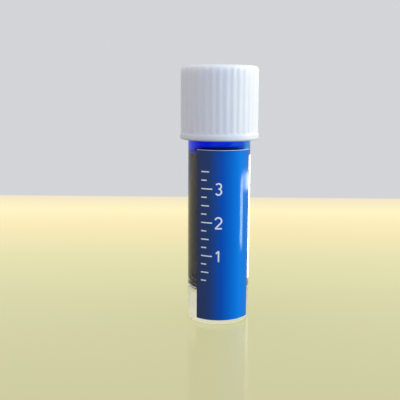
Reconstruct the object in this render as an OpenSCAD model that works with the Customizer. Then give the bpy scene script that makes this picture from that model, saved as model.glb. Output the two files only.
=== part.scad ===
// Small self-standing ink vial with a ribbed screw cap, all sizes in millimetres.
// The vial stands on the table at z = 0 with its axis on Z, and the label faces -Y.

/* [Vial] */
// Outside diameter of the straight body
body_d = 15; // [13:0.1:17]
// Wall thickness of the body, the skirt and the well
wall = 1.2; // [1:0.05:1.5]
// Height of the shoulder above the table
shoulder_h = 44.5; // [35:0.1:55]
// Length of the neck above the shoulder
neck_l = 14.7; // [12:0.1:17]
// Wall thickness of the neck behind its thread
neck_wall = 0.8; // [0.6:0.05:0.95]
// Height of the well's floor above the table
well_floor_h = 7.4; // [6.2:0.1:10]
// Inside radius of the well's bottom corner
well_round = 5.2; // [1.5:0.1:5.5]
// Width of the gap between the well and the skirt at its closed end
skirt_gap = 0.8; // [0.4:0.05:1.2]
// Rounding of the base ring's edges
base_round = 0.3; // [0.1:0.05:0.45]
// Rounding of the rim's edges
rim_round = 0.2; // [0.1:0.05:0.25]

/* [Cap] */
// Radial room between the body and the cap's bore
cap_room = 0.45; // [0.35:0.05:0.8]
// Wall thickness of the cap at its rib crests
cap_wall = 1.3; // [1:0.05:1.8]
// Thickness of the cap's top
cap_top = 1.3; // [1:0.05:2]
// How far the cap's skirt reaches down past the shoulder
cap_overlap = 0.4; // [0.2:0.1:2]
// Rounding of the cap's top edge
cap_round = 1.1; // [0.5:0.1:1.4]
// Height of the smooth band at the cap's lower edge
band_h = 1.4; // [1:0.1:3]
// How far the band stands out past the rib crests
band_out = 0.15; // [0.05:0.05:0.3]
// Rounding of the cap's lower edges
lip_round = 0.4; // [0.1:0.05:0.45]
// Number of ribs round the cap
rib_count = 36; // [24:1:40]
// Angle at which the closed cap stands, measured at its first groove
rib_turn = 3.3; // [0:0.1:15]
// Depth of the grooves between the ribs
groove_depth = 0.2; // [0.1:0.05:0.5]
// Width of a groove where it meets the crests
groove_w = 0.9; // [0.7:0.05:1.1]

/* [Liner] */
// Thickness of the sealing disc in the cap
liner_t = 0.8; // [0.5:0.05:1.5]
// Radial gap between the disc and the cap's bore
liner_gap = 0.2; // [0.1:0.05:0.3]
// How far the retaining bead reaches in under the disc
bead_reach = 0.25; // [0.15:0.05:0.3]
// Play between the bead and the disc
bead_play = 0.05; // [0.03:0.01:0.1]

/* [Ink] */
// How far the ink's level lies below the shoulder
ink_drop = 3.3; // [1:0.1:20]
// Gap between the ink and the wall that holds it
ink_gap = 0.02; // [0.01:0.01:0.1]
// Radius of the curve by which the ink climbs the wall
meniscus_r = 1.5; // [1:0.1:2.5]
// How far the ink climbs the wall
meniscus_rise = 0.45; // [0.1:0.05:0.9]

/* [Label] */
// Width of the label, measured round the body
label_w = 14.4; // [8:0.1:30]
// Thickness of the label
label_t = 0.1; // [0.05:0.01:0.2]
// Thickness of the glue between the label and the body
label_glue = 0.02; // [0.01:0.01:0.05]
// Height of the label's lower edge above the table
label_foot = 1.2; // [0.5:0.1:20]
// Gap between the label's upper edge and the cap
label_head = 2.1; // [0.5:0.1:20]

/* [Hidden] */
$fn = 96;
// How far a cut runs past the face that it opens
spill = 1;

body_r = body_d / 2;
bore_r = body_r - wall;
neck_r = bore_r + neck_wall;
rim_h = shoulder_h + neck_l;

// Middle of the arc that rounds the well's bottom corner
well_arc = [bore_r - well_round, well_floor_h + well_round];
// Height at which the gap between the well's underside and the skirt is still skirt_gap wide
gap_top = well_arc.y - sqrt(pow(well_round + wall, 2) - pow(well_round - skirt_gap, 2));

cap_bore_r = body_r + cap_room;
cap_r = cap_bore_r + cap_wall;
band_r = cap_r + band_out;
cap_foot = shoulder_h - cap_overlap;
cap_ceiling = rim_h + liner_t;
cap_h = cap_ceiling + cap_top;
// A groove is cut by a round rod: its radius follows from the groove's width and depth
groove_r = (pow(groove_w / 2, 2) + pow(groove_depth, 2)) / (2 * groove_depth);

liner_r = cap_bore_r - liner_gap;
bead_r = liner_gap + bead_reach;
bead_z = rim_h - bead_play - bead_r;

ink_r = bore_r - ink_gap;
ink_level = shoulder_h - ink_drop;
// Width of the climbing curve, measured in from the wall
meniscus_w = sqrt(pow(meniscus_r, 2) - pow(meniscus_r - meniscus_rise, 2));

label_r = body_r + label_glue;
label_arc = label_w / (label_r + label_t) * 180 / PI;
label_h = cap_foot - label_head - label_foot;

// Flat ring section from one radius to another, between two heights
module ring(r_in, r_out, z_low, z_high) {
    translate([r_in, z_low]) square([r_out - r_in, z_high - z_low]);
}

// What a cut takes off to round a corner at the origin, with the material towards (sx, sy)
module corner(r, sx, sy) {
    difference() {
        translate([sx > 0 ? -spill : -r, sy > 0 ? -spill : -r]) square(r + spill);
        translate([sx * r, sy * r]) circle(r);
    }
}

// Half section of a well with a rounded bottom corner, from its floor up to a height
module well_section(r, floor_h, round_r, top_h) {
    difference() {
        ring(0, r, floor_h, top_h);
        translate([r, floor_h]) corner(round_r, -1, 1);
    }
}

// Half section of the space under the well, open at the base
module skirt_hollow_section() {
    difference() {
        ring(0, bore_r, -spill, gap_top);
        well_section(body_r, well_floor_h - wall, well_round + wall, shoulder_h);
    }
    translate([bore_r, 0]) corner(base_round, 1, 1);
}

module vial_tube() {
    color([0.86, 0.88, 0.91, 0.45]) rotate_extrude() difference() {
        union() {
            ring(0, body_r, 0, shoulder_h);
            ring(0, neck_r, shoulder_h, rim_h);
        }
        translate([body_r, 0]) corner(base_round, -1, 1);
        translate([body_r, shoulder_h]) corner(wall - neck_wall, -1, -1);
        translate([neck_r, rim_h]) corner(rim_round, -1, -1);
        translate([bore_r, rim_h]) corner(rim_round, 1, -1);
        well_section(bore_r, well_floor_h, well_round, rim_h + spill);
        skirt_hollow_section();
    }
}

// Half section of the cap without its grooves
module cap_section() {
    difference() {
        union() {
            ring(0, cap_r, cap_foot, cap_h);
            ring(0, band_r, cap_foot, cap_foot + band_h);
        }
        translate([cap_r, cap_h]) corner(cap_round, -1, -1);
        translate([band_r, cap_foot + band_h]) corner(band_out, -1, -1);
        translate([band_r, cap_foot]) corner(lip_round, -1, 1);
        translate([cap_bore_r, cap_foot]) corner(lip_round, 1, 1);
        difference() {
            ring(0, cap_bore_r, cap_foot - spill, cap_ceiling);
            translate([cap_bore_r, bead_z]) circle(bead_r);
        }
    }
}

module screw_cap() {
    color([0.93, 0.93, 0.94]) difference() {
        rotate_extrude() cap_section();
        for (rib = [0 : rib_count - 1])
            rotate(rib_turn + rib * 360 / rib_count)
                translate([cap_r - groove_depth + groove_r, 0, cap_foot + band_h])
                    cylinder(r = groove_r, h = cap_h);
    }
}

module cap_liner() {
    color([0.97, 0.97, 0.95]) translate([0, 0, rim_h]) cylinder(r = liner_r, h = liner_t);
}

module ink() {
    color([0.03, 0.06, 0.3]) rotate_extrude() {
        well_section(ink_r, well_floor_h + ink_gap, well_round - ink_gap, ink_level);
        difference() {
            ring(ink_r - meniscus_w, ink_r, ink_level - ink_gap, ink_level + meniscus_r);
            translate([ink_r - meniscus_w, ink_level + meniscus_r]) circle(meniscus_r);
        }
    }
}

module label() {
    color([0.04, 0.26, 0.62]) rotate(-90 - label_arc / 2) rotate_extrude(angle = label_arc)
        ring(label_r, label_r + label_t, label_foot, label_foot + label_h);
}

vial_tube();
screw_cap();
cap_liner();
ink();
label();
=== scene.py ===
# %% [markdown]
# # A small vial of blue ink
# The object is a sample vial: a clear moulded tube that stands by itself, a ribbed white screw cap with a
# soft liner inside, dark blue ink and a glossy blue label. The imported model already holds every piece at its
# real size. This lesson dresses it: each piece is worked out again as a fine surface, with the rounding, the
# screw thread and the finish that the camera can see, and it rides on the same body as the plain solid.

# %% Load the frame
import math

import bpy
import numpy as np
from mathutils import Matrix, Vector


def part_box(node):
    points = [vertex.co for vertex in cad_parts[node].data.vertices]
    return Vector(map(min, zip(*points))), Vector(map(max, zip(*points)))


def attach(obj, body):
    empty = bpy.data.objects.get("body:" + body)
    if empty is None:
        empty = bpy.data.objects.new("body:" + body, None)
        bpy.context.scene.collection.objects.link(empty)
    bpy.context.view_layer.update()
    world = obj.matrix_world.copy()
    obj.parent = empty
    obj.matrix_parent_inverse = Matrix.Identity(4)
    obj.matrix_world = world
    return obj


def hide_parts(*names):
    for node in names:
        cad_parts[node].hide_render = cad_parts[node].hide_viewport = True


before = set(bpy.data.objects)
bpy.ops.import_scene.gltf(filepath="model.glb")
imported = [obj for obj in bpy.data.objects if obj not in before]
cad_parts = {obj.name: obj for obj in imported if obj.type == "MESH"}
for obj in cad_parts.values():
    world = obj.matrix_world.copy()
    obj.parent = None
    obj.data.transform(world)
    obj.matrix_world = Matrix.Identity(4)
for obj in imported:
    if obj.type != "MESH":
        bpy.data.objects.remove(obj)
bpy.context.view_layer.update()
MM = 0.001
FULL_TURN = 2 * math.pi
scene = bpy.context.scene
scene.view_settings.view_transform = "Standard"

# %% [markdown]
# ## Reading the sizes from the frame
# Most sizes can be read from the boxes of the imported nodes, so they aren't typed again. Only what a box
# can't tell, such as a wall hidden inside or the radius of an edge, is a named value here.

# %% Sizes
_, tube_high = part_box("vial_tube")
cap_low, cap_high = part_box("screw_cap")
liner_low, liner_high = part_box("cap_liner")
ink_low, ink_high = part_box("ink")
label_low, label_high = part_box("label")

BODY_R = tube_high.x
RIM_Z = tube_high.z
INK_GAP = 0.02 * MM
BORE_R = ink_high.x + INK_GAP
WELL_FLOOR_Z = ink_low.z - INK_GAP
WALL = BODY_R - BORE_R
NECK_WALL = 0.8 * MM
NECK_R = BORE_R + NECK_WALL
CAP_FOOT_Z = cap_low.z
CAP_OVERLAP = 0.4 * MM
SHOULDER_Z = CAP_FOOT_Z + CAP_OVERLAP
WELL_ROUND = 5.2 * MM
SKIRT_GAP = 0.8 * MM
BASE_ROUND = 0.3 * MM
RIM_ROUND = 0.2 * MM
print(f"body {2 * BODY_R / MM:.1f} mm across, wall {WALL / MM:.2f} mm, rim at {RIM_Z / MM:.1f} mm")

# %% [markdown]
# ## The camera
# The photograph was taken from close by, a little above the middle of the cap, so the sides of the vial draw
# together towards the table. A pinhole camera at the right distance gives that by itself. The picture is
# square, so one focal length in pixels sets the lens.

# %% Camera
IMAGE_PX = 400
FOCAL_PX = 646
SENSOR_MM = 36
CLIP_START = 5 * MM
CAMERA_AZIMUTH = math.radians(-12)
CAMERA_DISTANCE = 155.6 * MM
CAMERA_HEIGHT = 55.2 * MM
CAMERA_PITCH = math.radians(9.5)
CAMERA_YAW = math.radians(1.68)
CAMERA_ROLL = math.radians(0.25)

camera_data = bpy.data.cameras.new("camera")
camera_data.sensor_width = SENSOR_MM
camera_data.lens = FOCAL_PX / IMAGE_PX * SENSOR_MM
camera_data.clip_start = CLIP_START
camera = bpy.data.objects.new("camera", camera_data)
scene.collection.objects.link(camera)
camera.matrix_world = (
    Matrix.Rotation(CAMERA_AZIMUTH, 4, "Z")
    @ Matrix.Translation((0, -CAMERA_DISTANCE, CAMERA_HEIGHT))
    @ Matrix.Rotation(CAMERA_YAW, 4, "Z")
    @ Matrix.Rotation(math.pi / 2 - CAMERA_PITCH, 4, "X")
    @ Matrix.Rotation(CAMERA_ROLL, 4, "Z")
)
scene.camera = camera
print("camera at", [round(v / MM, 1) for v in camera.matrix_world.translation])

# %% [markdown]
# ## From a half section to a turned surface
# Tube, cap, liner and ink are all turned shapes. Blender's Screw modifier could spin a drawn line, but a
# screw thread and ribs change the radius from place to place, so the surface is worked out as a whole grid
# instead: one row for each point of the half section, one column for each step round the axis.

# %% Outlines
SHADE_GUARD = 0.03 * MM
MOST_GUARD = 0.3
SAME_PLACE = 0.00001 * MM


def arc(centre, radius, start, end, steps=9):
    """Round stretch: the centre plus the radius, turned from start to end in degrees."""
    turn = np.radians(np.linspace(start, end, steps))
    return np.column_stack([centre[0] + radius * np.cos(turn), centre[1] + radius * np.sin(turn)])


def run(start, end, steps=2):
    """Straight stretch: start plus a share of the way to end. Two more points sit close to the ends, so that
    the smooth shading of a rounded edge doesn't spread over the flat face beside it."""
    start, end = np.array(start, float), np.array(end, float)
    guard = min(SHADE_GUARD / np.linalg.norm(end - start), MOST_GUARD)
    share = np.union1d(np.linspace(0, 1, steps), [guard, 1 - guard])[:, None]
    return start + share * (end - start)


def outline(*stretches):
    """One list of (radius, height) points from several stretches, with doubled corners dropped."""
    points = np.vstack(stretches)
    fresh = np.linalg.norm(np.diff(points, axis=0), axis=1) > SAME_PLACE
    return points[np.concatenate([[True], fresh])]


# %% Meshes
SHARP_EDGE = math.radians(40)


def new_piece(name, points, quads, triangles=()):
    """Puts arrays into a new mesh object at the origin: points are (x, y, z), faces rows of point numbers.
    The volume is a sum of tetrahedra to the origin, and faces are turned round if it comes out negative."""
    quads = np.asarray(quads, np.int32).reshape(-1, 4)
    triangles = np.asarray(triangles, np.int32).reshape(-1, 3)
    halves = np.vstack([quads[:, [0, 1, 2]], quads[:, [0, 2, 3]], triangles])
    a, b, c = (points[halves[:, i]] for i in range(3))
    if np.einsum("ij,ij->i", a, np.cross(b, c)).sum() < 0:
        quads, triangles = quads[:, ::-1], triangles[:, ::-1]
    sizes = np.concatenate([np.full(len(quads), 4), np.full(len(triangles), 3)]).astype(np.int32)
    corners = np.concatenate([quads.ravel(), triangles.ravel()]).astype(np.int32)
    mesh = bpy.data.meshes.new(name)
    mesh.vertices.add(len(points))
    mesh.vertices.foreach_set("co", np.ascontiguousarray(points, np.float32).ravel())
    mesh.loops.add(len(corners))
    mesh.loops.foreach_set("vertex_index", corners)
    mesh.polygons.add(len(sizes))
    mesh.polygons.foreach_set("loop_start", np.concatenate([[0], np.cumsum(sizes)[:-1]]).astype(np.int32))
    mesh.update(calc_edges=True)
    mesh.validate()
    mesh.shade_smooth()
    mesh.set_sharp_from_angle(angle=SHARP_EDGE)
    piece = bpy.data.objects.new(name, mesh)
    scene.collection.objects.link(piece)
    print(f"{name}: {len(points)} points, {len(quads)} quads, {len(triangles)} triangles")
    return piece


def spun(name, section, columns, reshape=None):
    """Carries a half section round the Z axis: point (i, j) is (r cos t, r sin t, z), with r and z from the
    section's point i and t from column j. reshape(r, z, t) may change r. The section's first and last points
    lie on the axis, and each becomes one point that closes the surface with triangles."""
    turn = np.linspace(0, FULL_TURN, columns, endpoint=False)[None, :]
    radius, height = section[1:-1, :1], section[1:-1, 1:]
    radius = np.repeat(radius, columns, 1) if reshape is None else reshape(radius, height, turn)
    rings = np.stack(np.broadcast_arrays(radius * np.cos(turn), radius * np.sin(turn), height), -1)
    rows = len(rings)
    number = np.arange(rows * columns).reshape(rows, columns)
    beside = np.roll(number, -1, 1)
    quads = np.stack([number[:-1], beside[:-1], beside[1:], number[1:]], -1)
    first, last = rows * columns, rows * columns + 1
    fan_first = np.stack([np.full(columns, first), beside[0], number[0]], -1)
    fan_last = np.stack([np.full(columns, last), number[-1], beside[-1]], -1)
    ends = [[0, 0, section[0, 1]], [0, 0, section[-1, 1]]]
    points = np.vstack([rings.reshape(-1, 3), ends])
    return new_piece(name, points, quads, np.vstack([fan_first, fan_last]))


# %% [markdown]
# ## The screw thread
# Neck and cap hold together by one ridge each, wound round the axis with a pitch of 3.5 mm. Both ridges lie
# on the same helix half a pitch apart, so when the cap turns and rises by its joint, each ridge slides in
# the other's groove and never cuts through it. A ridge is only a change of the radius, so it needs no mesh
# of its own.

# %% Thread
PITCH = 3.5 * MM
RIDGE_ROOT = 0.78 * MM
RIDGE_CREST = 0.3 * MM
RIDGE_FADE = 0.14
THREAD_START_Z = 47.6 * MM


def ramp(low, high, value):
    """Smooth step: 0 up to low, 1 from high on, and 3s^2 - 2s^3 of the share s between them."""
    share = np.clip((value - low) / (high - low), 0, 1)
    return share * share * (3 - 2 * share)


def ridge(z, turn, start_z, first, last):
    """Height of the thread from 0 to 1. A point's climb is its height over the pitch, less its share of a
    turn. The nearest whole number is the lap that it belongs to, and what is left is how far it lies from the
    middle of the ridge. The ridge fades in after first and out before last, both counted in turns."""
    climb = (z - start_z) / PITCH - turn / FULL_TURN
    lap = np.round(climb)
    flank = ramp(RIDGE_ROOT, RIDGE_CREST, np.abs(climb - lap) * PITCH)
    along = lap + turn / FULL_TURN
    return flank * ramp(first, first + RIDGE_FADE, along) * ramp(last, last - RIDGE_FADE, along)


print(f"thread: pitch {PITCH / MM:.1f} mm, ridge {2 * RIDGE_ROOT / MM:.2f} mm wide at its root")

# %% [markdown]
# ## The tube
# The tube is one moulding of natural polypropylene. Its bore ends in a round-cornered well that hangs inside
# an open skirt, so the vial stands on a thin ring. The half section starts on the axis at the well's floor,
# goes up the bore, over the rim, down the outside and up again inside the skirt.

# %% Tube
TUBE_COLUMNS = 192
NECK_ROWS = 92
NECK_RIDGE = 0.65 * MM
NECK_TURNS = (0.0, 2.7)
GATE_R = 0.7 * MM
GATE_H = 0.15 * MM

well_arc = np.array([BORE_R - WELL_ROUND, WELL_FLOOR_Z + WELL_ROUND])
shoulder_step = BODY_R - NECK_R
gap_angle = math.acos((WELL_ROUND - SKIRT_GAP) / (WELL_ROUND + WALL))
gap_top_z = well_arc[1] - (WELL_ROUND + WALL) * math.sin(gap_angle)
under_z = WELL_FLOOR_Z - WALL

tube_section = outline(
    run((0, WELL_FLOOR_Z), (well_arc[0], WELL_FLOOR_Z), 4),
    arc(well_arc, WELL_ROUND, -90, 0, 17),
    run((BORE_R, well_arc[1]), (BORE_R, ink_high.z), 8),
    run((BORE_R, ink_high.z), (BORE_R, RIM_Z - RIM_ROUND), 4),
    arc((BORE_R + RIM_ROUND, RIM_Z - RIM_ROUND), RIM_ROUND, 180, 90),
    arc((NECK_R - RIM_ROUND, RIM_Z - RIM_ROUND), RIM_ROUND, 90, 0),
    run((NECK_R, RIM_Z - RIM_ROUND), (NECK_R, SHOULDER_Z), NECK_ROWS),
    arc((NECK_R, SHOULDER_Z - shoulder_step), shoulder_step, 90, 0),
    run((BODY_R, SHOULDER_Z - shoulder_step), (BODY_R, ink_high.z)),
    run((BODY_R, ink_high.z), (BODY_R, WELL_FLOOR_Z), 8),
    run((BODY_R, WELL_FLOOR_Z), (BODY_R, BASE_ROUND)),
    arc((BODY_R - BASE_ROUND, BASE_ROUND), BASE_ROUND, 0, -90),
    arc((BORE_R + BASE_ROUND, BASE_ROUND), BASE_ROUND, -90, -180),
    run((BORE_R, BASE_ROUND), (BORE_R, gap_top_z)),
    run((BORE_R, gap_top_z), (BORE_R - SKIRT_GAP, gap_top_z)),
    arc(well_arc, WELL_ROUND + WALL, -math.degrees(gap_angle), -90, 15),
    run((well_arc[0], under_z), (GATE_R + GATE_H, under_z)),
    arc((GATE_R, under_z), GATE_H, 0, -90, 6),
    run((GATE_R, under_z - GATE_H), (0, under_z - GATE_H)),
)


def neck_thread(r, z, turn):
    """The section's radius, with the ridge's height added on the outside of the neck."""
    on_neck = (np.abs(r - NECK_R) < SAME_PLACE) & (z > SHOULDER_Z)
    return r + on_neck * NECK_RIDGE * ridge(z, turn, THREAD_START_Z, *NECK_TURNS)


tube = spun("tube", tube_section, TUBE_COLUMNS, neck_thread)

# %% [markdown]
# ## The cap
# The cap is a shell with soft ribs for the fingers, a smooth band at its foot and a bead inside that holds
# the liner. The grooves between the ribs are round: each takes away what a thin rod laid along the cap
# would, and they fade out above the band and into the rounded top edge.

# %% Cap
RIBS = 36
RIB_TURN = math.radians(3.3)
COLUMNS_PER_RIB = 16
BAND_R = cap_high.x
BAND_OUT = 0.15 * MM
BAND_H = 1.4 * MM
CAP_R = BAND_R - BAND_OUT
CAP_TOP_Z = cap_high.z
CEILING_Z = liner_high.z
CAP_WALL = 1.3 * MM
CAP_BORE_R = CAP_R - CAP_WALL
CAP_ROUND = 1.1 * MM
LIP_ROUND = 0.4 * MM
LINER_R = liner_high.x
BEAD_REACH = 0.25 * MM
BEAD_PLAY = 0.05 * MM
BEAD_R = CAP_BORE_R - LINER_R + BEAD_REACH
BEAD_Z = RIM_Z - BEAD_R - BEAD_PLAY
GROOVE_DEPTH = 0.14 * MM
GROOVE_W = 0.9 * MM
GROOVE_SOFT = 0.2 * MM
GROOVE_FADE = 0.5 * MM
CAP_RIDGE = 0.7 * MM
CAP_TURNS = (0.2, 2.8)
DIMPLE_R = 1.4 * MM
DIMPLE_H = 0.12 * MM
THREAD_ROWS = 64

band_top_z = CAP_FOOT_Z + BAND_H
round_z = CAP_TOP_Z - CAP_ROUND
cap_section = outline(
    run((0, CAP_TOP_Z - DIMPLE_H), (DIMPLE_R, CAP_TOP_Z - DIMPLE_H)),
    run((DIMPLE_R + DIMPLE_H, CAP_TOP_Z), (CAP_R - CAP_ROUND, CAP_TOP_Z), 4),
    arc((CAP_R - CAP_ROUND, round_z), CAP_ROUND, 90, 0, 14),
    run((CAP_R, round_z), (CAP_R, band_top_z + GROOVE_FADE), 5),
    run((CAP_R, band_top_z + GROOVE_FADE), (CAP_R, band_top_z), 8),
    arc((CAP_R, band_top_z - BAND_OUT), BAND_OUT, 90, 0, 6),
    run((BAND_R, band_top_z - BAND_OUT), (BAND_R, CAP_FOOT_Z + LIP_ROUND)),
    arc((BAND_R - LIP_ROUND, CAP_FOOT_Z + LIP_ROUND), LIP_ROUND, 0, -90),
    arc((CAP_BORE_R + LIP_ROUND, CAP_FOOT_Z + LIP_ROUND), LIP_ROUND, -90, -180),
    run((CAP_BORE_R, CAP_FOOT_Z + LIP_ROUND), (CAP_BORE_R, BEAD_Z - BEAD_R), THREAD_ROWS),
    arc((CAP_BORE_R, BEAD_Z), BEAD_R, -90, -270, 11),
    run((CAP_BORE_R, BEAD_Z + BEAD_R), (CAP_BORE_R, CEILING_Z)),
    run((CAP_BORE_R, CEILING_Z), (0, CEILING_Z), 4),
)


def soft_least(a, b, soft):
    """The smaller of two values, blended over the width soft where they are close to each other."""
    near = np.clip(1 - np.abs(a - b) / soft, 0, 1)
    return np.minimum(a, b) - near * near * soft / 4


def ribs_and_thread(r, z, turn):
    """Outside, the radius is the lesser of the section's own and a groove's floor, which is a circle of the
    rod's radius seen from the axis. Inside, the thread's ridge is taken off the bore's radius."""
    rod_r = ((GROOVE_W / 2) ** 2 + GROOVE_DEPTH**2) / (2 * GROOVE_DEPTH)
    rod_at = CAP_R - GROOVE_DEPTH + rod_r
    off = ((turn - RIB_TURN) * RIBS / FULL_TURN + 0.5) % 1 - 0.5
    aside = rod_at * np.sin(off * FULL_TURN / RIBS)
    depth = np.sqrt(np.maximum(rod_r**2 - aside**2, 0))
    floor = rod_at * np.cos(off * FULL_TURN / RIBS) - depth
    floor = np.where(np.abs(aside) < rod_r, floor, rod_at)
    floor = floor + 2 * GROOVE_DEPTH * (1 - ramp(band_top_z, band_top_z + GROOVE_FADE, z))
    outside = (z >= band_top_z) & (r > CAP_BORE_R + BEAD_R)
    ribbed = np.where(outside, soft_least(r, floor, GROOVE_SOFT), r)
    in_bore = (np.abs(r - CAP_BORE_R) < SAME_PLACE) & (z < BEAD_Z)
    helix = ridge(z, turn, THREAD_START_Z - PITCH / 2, *CAP_TURNS)
    return ribbed - in_bore * CAP_RIDGE * helix


cap = spun("cap", cap_section, RIBS * COLUMNS_PER_RIB, ribs_and_thread)

# %% [markdown]
# ## The liner
# A soft disc sits behind the cap's bead and seals the rim. Its edge is slightly rounded by the punch that
# cut it.

# %% Liner
LINER_EDGE = 0.12 * MM
LINER_COLUMNS = 128
liner_section = outline(
    run((0, liner_high.z), (LINER_R - LINER_EDGE, liner_high.z), 5),
    arc((LINER_R - LINER_EDGE, liner_high.z - LINER_EDGE), LINER_EDGE, 90, 0, 6),
    arc((LINER_R - LINER_EDGE, liner_low.z + LINER_EDGE), LINER_EDGE, 0, -90, 6),
    run((LINER_R - LINER_EDGE, liner_low.z), (0, liner_low.z), 5),
)
liner = spun("liner", liner_section, LINER_COLUMNS)

# %% [markdown]
# ## The ink
# The ink fills the well and climbs the wall a little. Where a liquid touches a clear wall there is no air
# between them, so the ink's surface is set a hair into the wall: light then passes from plastic into ink,
# and the ink seems to fill the tube right to its edge, as it does in a real vial.

# %% Ink
INTO_WALL = 0.02 * MM
MENISCUS_R = 1.5 * MM
MENISCUS_RISE = 0.45 * MM
INK_COLUMNS = 128

ink_r = BORE_R + INTO_WALL
ink_floor_z = WELL_FLOOR_Z - INTO_WALL
ink_round = WELL_ROUND + INTO_WALL
ink_level_z = ink_high.z - MENISCUS_RISE
climb_angle = math.degrees(math.acos(1 - MENISCUS_RISE / MENISCUS_R))
meniscus_x = ink_r - MENISCUS_R * math.sin(math.radians(climb_angle))
ink_section = outline(
    run((0, ink_floor_z), (ink_r - ink_round, ink_floor_z), 4),
    arc((ink_r - ink_round, ink_floor_z + ink_round), ink_round, -90, 0, 15),
    run((ink_r, ink_floor_z + ink_round), (ink_r, ink_high.z), 8),
    arc((meniscus_x, ink_level_z + MENISCUS_R), MENISCUS_R, climb_angle - 90, -90, 10),
    run((meniscus_x, ink_level_z), (0, ink_level_z), 5),
)
ink = spun("ink_body", ink_section, INK_COLUMNS)

# %% [markdown]
# ## Thin sheets
# The wet film above the ink, the label and its print are all thin sheets bent round the axis. Blender's
# Solidify modifier could thicken a bent plane. Here the front and the back are two grids of the same shape,
# because then the edge between them can be uneven, and the thickness is exact.

# %% Sheets
def bent(turn, z, r):
    """Grid on a cylinder: column j lies at angle turn, row i at height z, all at radius r from the axis."""
    turn, z, r = np.broadcast_arrays(turn, z, r)
    return np.stack([r * np.cos(turn), r * np.sin(turn), z], -1)


def strip(near, far):
    """Faces between two lines of point numbers: two neighbours on one line and the two across from them."""
    return np.stack([near[..., :-1], near[..., 1:], far[..., 1:], far[..., :-1]], -1)


def slab(name, front, back, wraps=False):
    """Closes sheets between two stacks of grids, shaped (sheets, rows, columns, 3): the front's faces, the
    same faces of the back, and a strip along each border. With wraps, the last column meets the first."""
    sheets, rows, columns = front.shape[:3]
    number = np.arange(sheets * rows * columns).reshape(sheets, rows, columns)
    if wraps:
        number = np.concatenate([number, number[:, :, :1]], 2)
    under = number + sheets * rows * columns
    quads = [
        np.stack([n[:, :-1, :-1], n[:, :-1, 1:], n[:, 1:, 1:], n[:, 1:, :-1]], -1)
        for n in (number, under[:, ::-1])
    ]
    quads += [strip(under[:, 0], number[:, 0]), strip(number[:, -1], under[:, -1])]
    if not wraps:
        quads += [strip(under[..., 0], number[..., 0]), strip(number[..., -1], under[..., -1])]
    points = np.concatenate([front.reshape(-1, 3), back.reshape(-1, 3)])
    return new_piece(name, points, np.concatenate([q.reshape(-1, 4) for q in quads]))


# %% [markdown]
# ## The wet film
# Ink that was shaken up stays on the wall above the level as a film. It is far too thin to hide the light,
# so it glows in the clear blue that the ink itself is too dark to show. Its upper edge is uneven, as the ink
# ran back.

# %% Film
FILM_COLUMNS = 144
FILM_ROWS = 5
FILM_T = 0.03 * MM
FILM_TOP_Z = 48.2 * MM
# Waves of the upper edge: how many go round, height, and where the first begins in radians
FILM_WAVES = ((2, 0.8 * MM, 0.4), (3, 0.5 * MM, 1.9), (7, 0.25 * MM, 0.7))

film_turn = np.linspace(0, FULL_TURN, FILM_COLUMNS, endpoint=False)[None, None, :]
film_edge = FILM_TOP_Z + sum(high * np.sin(count * film_turn + late) for count, high, late in FILM_WAVES)
film_share = np.linspace(0, 1, FILM_ROWS)[None, :, None]
film_z = ink_level_z + film_share * (film_edge - ink_level_z)
film_outer = bent(film_turn, film_z, BORE_R + INTO_WALL)
film_inner = bent(film_turn, film_z, BORE_R - FILM_T)
film = slab("film", film_outer, film_inner, wraps=True)

# %% [markdown]
# ## The label
# The label is glossy printed paper, wrapped about a third of the way round. Its cut edges and a hair's
# breadth along its top, where the print stops short of the cut, show the white paper. The last row of the
# front, the back and the strips between them therefore get a material of their own.

# %% Label
LABEL_T = 0.1 * MM
LABEL_COLUMNS = 65
LABEL_ROWS = 9
LABEL_MIDDLE = math.radians(-90)
LABEL_MARGIN = 0.09 * MM

label_r = -label_low.y
label_half = math.asin(label_high.x / label_r)
label_turn = LABEL_MIDDLE + np.linspace(-label_half, label_half, LABEL_COLUMNS)[None, None, :]
print_z = np.linspace(label_low.z, label_high.z - LABEL_MARGIN, LABEL_ROWS)
label_z = np.append(print_z, label_high.z)[None, :, None]
label_front = bent(label_turn, label_z, label_r)
label_back = bent(label_turn, label_z, label_r - LABEL_T)
label = slab("sticker", label_front, label_back)
printed_faces = (LABEL_COLUMNS - 1) * (LABEL_ROWS - 1)
print(f"label spans {2 * math.degrees(label_half):.1f} degrees")

# %% [markdown]
# ## The scale on the label
# The print is a plain filling scale: a long mark for each millilitre, shorter ones for the parts of it, and
# a number beside each long mark. A text object could give the numbers, but bending it round the label would
# take a modifier and a font. A number is only a few strokes, and a stroke is a ribbon carried along a path.

# %% Scale
STROKE_POINTS = 40
MARK_H = 0.01 * MM
MARK_STEP_ML = 0.25
SCALE_ML = 3.5
MARK_STROKE = 0.28 * MM
MARK_LONG, MARK_HALF, MARK_SHORT = 2.8 * MM, 2.0 * MM, 1.4 * MM
MARK_FROM_EDGE = 1.3 * MM
NUMBER_STROKE = 0.36 * MM
NUMBER_H = 2.6 * MM
NUMBER_GAP = 0.7 * MM
M3_PER_ML = 1e-6

# The well's round corner takes up a square less a quarter disc, each carried round the axis by its own middle
square_way = FULL_TURN * (BORE_R - WELL_ROUND / 2)
disc_way = FULL_TURN * (BORE_R - WELL_ROUND + 4 * WELL_ROUND / (3 * math.pi))
corner_volume = WELL_ROUND**2 * (square_way - math.pi / 4 * disc_way)
bore_area = math.pi * BORE_R**2


def level_of(millilitres):
    """Height of the ink's level: the floor, plus the volumes of ink and corner over the bore's area."""
    return WELL_FLOOR_Z + (millilitres * M3_PER_ML + corner_volume) / bore_area


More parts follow.
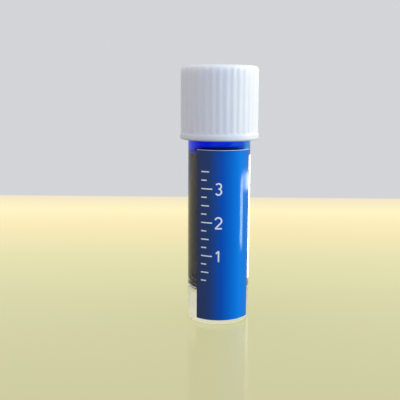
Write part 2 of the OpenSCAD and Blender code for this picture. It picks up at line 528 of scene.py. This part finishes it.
def stroke(*points):
    """Evenly spaced points along a broken line: each lies at its share of the line's whole length."""
    line = np.vstack(points)
    length = np.concatenate([[0], np.cumsum(np.linalg.norm(np.diff(line, axis=0), axis=1))])
    share = np.linspace(0, length[-1], STROKE_POINTS)
    return np.column_stack([np.interp(share, length, line[:, 0]), np.interp(share, length, line[:, 1])])


# Strokes of the numbers in a box one high
NUMBERS = {
    1: [stroke((0.1, 0.76), (0.34, 1)), stroke((0.34, 1), (0.34, 0))],
    2: [stroke(arc((0.3, 0.71), 0.29, 165, -44, 24), (0.03, 0)), stroke((0, 0), (0.62, 0))],
    3: [stroke(arc((0.29, 0.76), 0.24, 150, -90, 24)), stroke(arc((0.28, 0.26), 0.27, 90, -150, 24))],
}

paths, widths = [], []
for step in range(1, round(SCALE_ML / MARK_STEP_ML) + 1):
    amount = step * MARK_STEP_ML
    length = MARK_LONG if amount % 1 == 0 else MARK_HALF if amount % 0.5 == 0 else MARK_SHORT
    at = np.array([MARK_FROM_EDGE, level_of(amount)])
    paths.append(stroke(at, at + (length, 0)))
    widths.append(MARK_STROKE)
    for line in NUMBERS.get(amount, []):
        paths.append(at + (MARK_LONG + NUMBER_GAP, -NUMBER_H / 2) + line * NUMBER_H)
        widths.append(NUMBER_STROKE)
paths, widths = np.array(paths), np.array(widths)

along = np.gradient(paths, axis=1)
across = np.stack([-along[..., 1], along[..., 0]], -1) / np.linalg.norm(along, axis=-1, keepdims=True)
sides = np.array([-0.5, 0.5])[None, :, None, None] * widths[:, None, None, None]
ribbons = paths[:, None] + sides * across[:, None]
mark_turn = LABEL_MIDDLE - label_half + ribbons[..., 0] / label_r
marks_front = bent(mark_turn, ribbons[..., 1], label_r + MARK_H)
marks_back = bent(mark_turn, ribbons[..., 1], label_r - MARK_H)
marks = slab("scale_print", marks_front, marks_back)
print(f"{len(paths)} strokes, one millilitre is {(level_of(2) - level_of(1)) / MM:.2f} mm high")

# %% [markdown]
# ## Finishes
# Every finish is one Principled shader. Values that are the same all over a piece are set on the shader's
# own sockets, because the exported model keeps them only there. Where a finish varies, the pattern reads
# Object coordinates, which are real metres on the piece and move with it.

# %% Finish helper
def finish(name, **values):
    """New material whose Principled sockets get the given values, with _ standing for a space in a name."""
    material = bpy.data.materials.new(name)
    material.use_nodes = True
    shader = material.node_tree.nodes["Principled BSDF"]
    for socket, value in values.items():
        shader.inputs[socket.replace("_", " ")].default_value = value
    return material


def add_bump(material, scale, height):
    """Fine unevenness: noise over the piece's own metres lifts the shading by about height."""
    nodes, links = material.node_tree.nodes, material.node_tree.links
    place = nodes.new("ShaderNodeTexCoord")
    noise = nodes.new("ShaderNodeTexNoise")
    noise.inputs["Scale"].default_value = scale
    bump = nodes.new("ShaderNodeBump")
    bump.inputs["Distance"].default_value = height
    links.new(place.outputs["Object"], noise.inputs["Vector"])
    links.new(noise.outputs["Fac"], bump.inputs["Height"])
    links.new(bump.outputs["Normal"], nodes["Principled BSDF"].inputs["Normal"])


def uneven(material, stretch, low, high, between=(0.35, 0.65), lean=(0, 0, 0)):
    """Colour that wanders between low and high: soft noise over the piece's own metres, which are first
    multiplied by stretch, so that a larger number gives a finer pattern in that direction. The metres times
    lean are added to the noise, and the sum turns from low to high between the two given values."""
    nodes, links = material.node_tree.nodes, material.node_tree.links
    place = nodes.new("ShaderNodeTexCoord")
    mapping = nodes.new("ShaderNodeMapping")
    mapping.inputs["Scale"].default_value = stretch
    noise = nodes.new("ShaderNodeTexNoise")
    noise.inputs["Scale"].default_value = 1
    leaning = nodes.new("ShaderNodeVectorMath")
    leaning.operation = "DOT_PRODUCT"
    leaning.inputs[1].default_value = lean
    both = nodes.new("ShaderNodeMath")
    both.operation = "ADD"
    colours = nodes.new("ShaderNodeValToRGB")
    for element, at, colour in zip(colours.color_ramp.elements, between, (low, high)):
        element.position = at
        element.color = (*colour, 1)
    links.new(place.outputs["Object"], mapping.inputs["Vector"])
    links.new(mapping.outputs["Vector"], noise.inputs["Vector"])
    links.new(place.outputs["Object"], leaning.inputs[0])
    links.new(noise.outputs["Fac"], both.inputs[0])
    links.new(leaning.outputs["Value"], both.inputs[1])
    links.new(both.outputs["Value"], colours.inputs["Fac"])
    links.new(colours.outputs["Color"], nodes["Principled BSDF"].inputs["Base Color"])


def colour_along(material, socket, direction, stops):
    """Colour that runs along a direction: the piece's own metres times the direction give a distance, and the
    colour lies between the two nearest stops, which are (millimetres, colour)."""
    nodes, links = material.node_tree.nodes, material.node_tree.links
    place = nodes.new("ShaderNodeTexCoord")
    distance = nodes.new("ShaderNodeVectorMath")
    distance.operation = "DOT_PRODUCT"
    distance.inputs[1].default_value = direction
    first, last = stops[0][0], stops[-1][0]
    share = nodes.new("ShaderNodeMapRange")
    share.inputs["From Min"].default_value = first * MM
    share.inputs["From Max"].default_value = last * MM
    colours = nodes.new("ShaderNodeValToRGB")
    colours.color_ramp.elements[0].color = (*stops[0][1], 1)
    colours.color_ramp.elements[1].color = (*stops[-1][1], 1)
    for at, colour in stops[1:-1]:
        colours.color_ramp.elements.new((at - first) / (last - first)).color = (*colour, 1)
    links.new(place.outputs["Object"], distance.inputs[0])
    links.new(distance.outputs["Value"], share.inputs["Value"])
    links.new(share.outputs["Result"], colours.inputs["Fac"])
    links.new(colours.outputs["Color"], nodes["Principled BSDF"].inputs[socket])


# %% [markdown]
# ## Clear plastic and ink
# Natural polypropylene is clear but never as clear as glass: a little of the light is scattered inside. A
# transmission just under one leaves that share to the shader's white diffuse part. It gives the grey veil
# over the ink, more of it the milky look of the skirt, and none of it the clear blue band above the ink,
# where the light comes through from behind. The standing ring and the inside of the skirt come out of the
# mould matt, so they are rougher. The faces lie in rows of the half section, so a finish is chosen for each
# row.
#
# The ink is opaque in this depth and turns blue only at its level. The film is a tinted glass. Its colour
# wanders a little, because no film is even, and it is paler towards the right.

# %% Clear finishes
PLASTIC_IOR = 1.49
INK_IOR = 1.34
INK_DARK = (0.004, 0.006, 0.03)
INK_BLUE = (0.0, 0.03, 0.8)
INK_FADE_MM = 0.7
FILM_DEEP = (0.0, 0.05, 0.9)
FILM_PALE = (0.0, 0.5, 1.0)
NEARLY = 0.01 * MM


def plastic(name, clear, roughness=0.06, ior=PLASTIC_IOR, colour=(0.998, 0.978, 0.998, 1)):
    """Natural plastic that lets the share clear of the light through and scatters the rest."""
    return finish(
        name, Base_Color=colour, Roughness=roughness, IOR=ior, Transmission_Weight=clear,
        Specular_Tint=(0.15, 0.15, 0.15, 1),
    )


VEILED, CLEAR, MILKY, FROSTED = range(4)
tube_finishes = (
    plastic("veiled_plastic", clear=0.985),
    plastic("clear_plastic", clear=1.0),
    plastic("milky_plastic", clear=0.8),
    plastic("frosted_plastic", clear=0.93, roughness=0.5, ior=1.1, colour=(1, 0.99, 1, 1)),
)
row_r, row_z = ((tube_section[1:-2] + tube_section[2:-1]) / 2).T
above_ink = row_z > ink_high.z
on_foot = (row_z < WELL_FLOOR_Z) & (row_r > BODY_R - NEARLY)
on_ring = row_z < BASE_ROUND
in_skirt = (row_z < gap_top_z) & (np.abs(row_r - BORE_R) < NEARLY)
row_finish = np.select([above_ink, on_foot, on_ring | in_skirt], [CLEAR, MILKY, FROSTED], VEILED)
tube_faces = np.append(np.repeat(row_finish, TUBE_COLUMNS), np.full(2 * TUBE_COLUMNS, VEILED))
for number, material in enumerate(tube_finishes):
    tube.data.materials.append(material)
    print(f"{material.name}: {(row_finish == number).sum()} rows of the tube")
tube.data.polygons.foreach_set("material_index", tube_faces.astype(np.int32))

ink_finish = finish("ink", Roughness=0.02, IOR=INK_IOR)
ink_level_mm = ink_level_z / MM
ink_colours = ((ink_level_mm - INK_FADE_MM, INK_DARK), (ink_level_mm, INK_BLUE))
colour_along(ink_finish, "Base Color", direction=(0, 0, 1), stops=ink_colours)
film_finish = finish(
    "ink_film", Roughness=0.02, IOR=INK_IOR, Transmission_Weight=1.0, Specular_Tint=(0, 0, 0, 1),
)
uneven(
    film_finish, stretch=(260, 260, 900), low=FILM_DEEP, high=FILM_PALE, between=(0.45, 0.8), lean=(30, 0, 0),
)

# %% [markdown]
# ## White plastic, liner and label
# The cap is opaque white with a soft moulded sheen. Light that spreads a short way inside it rounds off the
# ribs, as it does in a real cap. The label is glossy coated paper printed in blue. Its blue is painted darker
# on the left and lighter on the right, from navy to azure: painted shade and painted light from the window on
# the right. The white of its paper and marks is slightly uneven.

# %% Opaque finishes
# Print blue with painted shade and light: (millimetres along X, colour), painted navy as if in shade on the
# left and azure as if in the window light on the right
PRINT_BLUE_AND_PAINTED_SHADE = (
    (-6, (0.04, 0.057, 0.15)),
    (-3.6, (0.022, 0.065, 0.22)),
    (-0.9, (0, 0.09, 0.51)),
    (3.8, (0, 0.21, 0.75)),
    (5.5, (0, 0.17, 0.62)),
)
cap_finish = finish(
    "white_plastic", Base_Color=(0.86, 0.86, 0.91, 1), Roughness=0.4, IOR=PLASTIC_IOR,
    Subsurface_Weight=1.0, Subsurface_Radius=(1, 0.95, 0.9), Subsurface_Scale=2.2 * MM,
)
add_bump(cap_finish, scale=2600, height=0.01 * MM)
liner_finish = finish("foam", Base_Color=(0.86, 0.86, 0.83, 1), Roughness=0.75)
add_bump(liner_finish, scale=5200, height=0.03 * MM)
print_and_shade_finish = finish("blue_print_painted_shade", Roughness=0.12, Specular_IOR_Level=0.08)
# Painted shade: the print's colour gets darker towards the left and lighter towards the right
colour_along(print_and_shade_finish, "Base Color", direction=(1, 0, 0), stops=PRINT_BLUE_AND_PAINTED_SHADE)
add_bump(print_and_shade_finish, scale=2400, height=0.001 * MM)
paper_finish = finish("paper", Roughness=0.6)
uneven(paper_finish, stretch=(9000, 9000, 3000), low=(0.78, 0.79, 0.8), high=(0.86, 0.87, 0.88))
mark_finish = finish("white_print", Roughness=0.2)
uneven(mark_finish, stretch=(6000, 6000, 6000), low=(0.88, 0.92, 0.98), high=(0.93, 0.97, 1.0))

for piece, material in (
    (cap, cap_finish), (liner, liner_finish), (ink, ink_finish), (film, film_finish),
    (label, print_and_shade_finish), (label, paper_finish), (marks, mark_finish),
):
    piece.data.materials.append(material)
label_faces = np.ones(len(label.data.polygons), np.int32)
label_faces[:printed_faces] = 0
label.data.polygons.foreach_set("material_index", label_faces)
print(f"label: {printed_faces} printed faces, {label_faces.sum()} of bare paper")

# %% [markdown]
# ## Joining the pieces to the bodies
# Each piece rides on the body that carries its solid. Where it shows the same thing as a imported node, it
# takes that node's place.

# %% Riding
for piece, body, node, slot in (
    (tube, "vial", "vial_tube", "clear_plastic"),
    (ink, "vial", "ink", "blue_ink"),
    (label, "vial", "label", "label_paper"),
    (cap, "cap", "screw_cap", "white_plastic"),
    (liner, "liner", "cap_liner", "liner_foam"),
    (film, "vial", None, "blue_ink"),
    (marks, "vial", None, "label_paper"),
):
    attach(piece, body)
    if node:
        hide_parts(node)
    print(f"{piece.name} rides on {body}", f"in place of {node}" if node else "")

# %% [markdown]
# ## Table and background
# The vial stands on a pale glossy table that ends some way behind it, in front of a grey wall. The table's
# colour runs from cool near the camera to warm and bright at the far edge. It is mostly a glow that the
# camera, reflections and clear plastic see, while the light that falls on the vial stays at a plain level.
# The rest of the table's colour is lit by the grey wall, and keeps the vial's soft shadow.

# %% Table
TABLE_BACK = 184 * MM
TABLE_FRONT = -420 * MM
TABLE_HALF = 600 * MM
TABLE_COLOUR = (0.2, 0.2, 0.19, 1)
TABLE_GLOW = (
    (-60, (0.46, 0.44, 0.2)),
    (0, (0.5, 0.49, 0.215)),
    (55, (0.58, 0.54, 0.22)),
    (100, (0.7, 0.57, 0.225)),
    (145, (0.74, 0.64, 0.27)),
    (184, (0.61, 0.5, 0.27)),
)
heading = np.array([-math.sin(CAMERA_AZIMUTH), math.cos(CAMERA_AZIMUTH), 0])
sideways = np.array([math.cos(CAMERA_AZIMUTH), math.sin(CAMERA_AZIMUTH), 0])
corners = np.array([
    side * TABLE_HALF * sideways + far * heading
    for side, far in ((-1, TABLE_FRONT), (1, TABLE_FRONT), (1, TABLE_BACK), (-1, TABLE_BACK))
])
table_mesh = bpy.data.meshes.new("table")
table_mesh.from_pydata(corners, [], [(0, 1, 2, 3)])
table = bpy.data.objects.new("table", table_mesh)
scene.collection.objects.link(table)


def seen_directly(tree):
    """1 for rays from the camera, from a mirror or through clear plastic, and 0 for the light on surfaces."""
    path = tree.nodes.new("ShaderNodeLightPath")
    seen = path.outputs["Is Camera Ray"]
    for kind in ("Is Glossy Ray", "Is Transmission Ray"):
        either = tree.nodes.new("ShaderNodeMath")
        either.operation = "MAXIMUM"
        tree.links.new(seen, either.inputs[0])
        tree.links.new(path.outputs[kind], either.inputs[1])
        seen = either.outputs[0]
    return seen


table_finish = finish("table", Base_Color=TABLE_COLOUR, Roughness=0.12, IOR=1.2)
colour_along(table_finish, "Emission Color", direction=heading, stops=TABLE_GLOW)
tree = table_finish.node_tree
tree.links.new(seen_directly(tree), tree.nodes["Principled BSDF"].inputs["Emission Strength"])
table_mesh.materials.append(table_finish)
print(f"table ends {TABLE_BACK / MM:.0f} mm behind the vial")

# %% Wall
WALL_COLOUR = (0.65, 0.66, 0.69, 1)
world = bpy.data.worlds.new("room")
world.use_nodes = True
world.node_tree.nodes["Background"].inputs["Color"].default_value = WALL_COLOUR
scene.world = world
print("wall and room light:", WALL_COLOUR[:3])

# %% [markdown]
# ## Window light
# The light comes from the right: a wide blue patch of sky nearer to the camera, and a warm one at the side.
# Each is an area lamp, which turns softly from bright to dark on a round piece. Where both fall on the cap
# they add up to white, and on the way there the cap turns bluish, as beside a real window. A weaker lamp
# fills the left side, and a low one stands for the light that the pale table throws into the milky plastic.
# The table itself is lit by the grey wall alone, so none of these reach it.
#
# A narrow pane close by and the bar above it draw the streak on the label's gloss, and a strip light just
# behind the vial draws the bright line along the tube's right edge, as photographers do with bottles. Each
# of them lights only the piece that shows it.

# %% Lamps
VIAL = (tube, ink, film, cap, liner, label, marks)
# Pieces lit, rays that show the lamp, across in degrees, away, low, high and wide in millimetres, radiance
# and colour
LAMPS = {
    "sky": (VIAL, "all", 60, 700, 100, 400, 900, 3.9, (0.3, 0.6, 1)),
    "sun": (VIAL, "all", 91, 700, 100, 400, 750, 5.6, (1, 0.83, 0.45)),
    "room": (VIAL, "all", -45, 700, 200, 900, 900, 0.6, (1, 0.92, 0.96)),
    "low": ((tube,), "matt", -35, 300, 5, 120, 300, 7, (0.85, 0.88, 1)),
    "pane": ((label,), "gloss", 87, 60, 6, 29, 13, 34, (0.75, 0.87, 1)),
    "pane_top": ((label,), "gloss", 114, 60, 24, 29.5, 44, 18, (0.8, 0.9, 1)),
    "edge": ((tube,), "gloss", 145, 28, 2.7, 38, 16, 5.2, (1, 1, 0.9)),
}


def lamp(name, lit, rays, across, away, low, high, wide, radiance, colour):
    """Upright area lamp that faces the axis: across degrees to the right of the camera, away millimetres from
    the axis, from the height low to the height high. Its power is radiance times pi times its area. With rays
    "matt" it shows in no reflection, and with "gloss" in nothing else."""
    data = bpy.data.lights.new(name, "AREA")
    data.shape = "RECTANGLE"
    data.size, data.size_y = wide * MM, (high - low) * MM
    data.energy = radiance * math.pi * data.size * data.size_y
    data.color = colour
    piece = bpy.data.objects.new(name, data)
    piece.matrix_world = (
        Matrix.Rotation(CAMERA_AZIMUTH + math.radians(across), 4, "Z")
        @ Matrix.Translation((0, -away * MM, (low + high) / 2 * MM))
        @ Matrix.Rotation(math.pi / 2, 4, "X")
    )
    piece.visible_camera = piece.visible_transmission = False
    piece.visible_diffuse = rays != "gloss"
    piece.visible_glossy = rays != "matt"
    scene.collection.objects.link(piece)
    receivers = bpy.data.collections.new(f"lit_by_{name}")
    for target in lit:
        receivers.objects.link(target)
    piece.light_linking.receiver_collection = receivers


for name, values in LAMPS.items():
    lamp(name, *values)
print("lamps:", ", ".join(LAMPS))
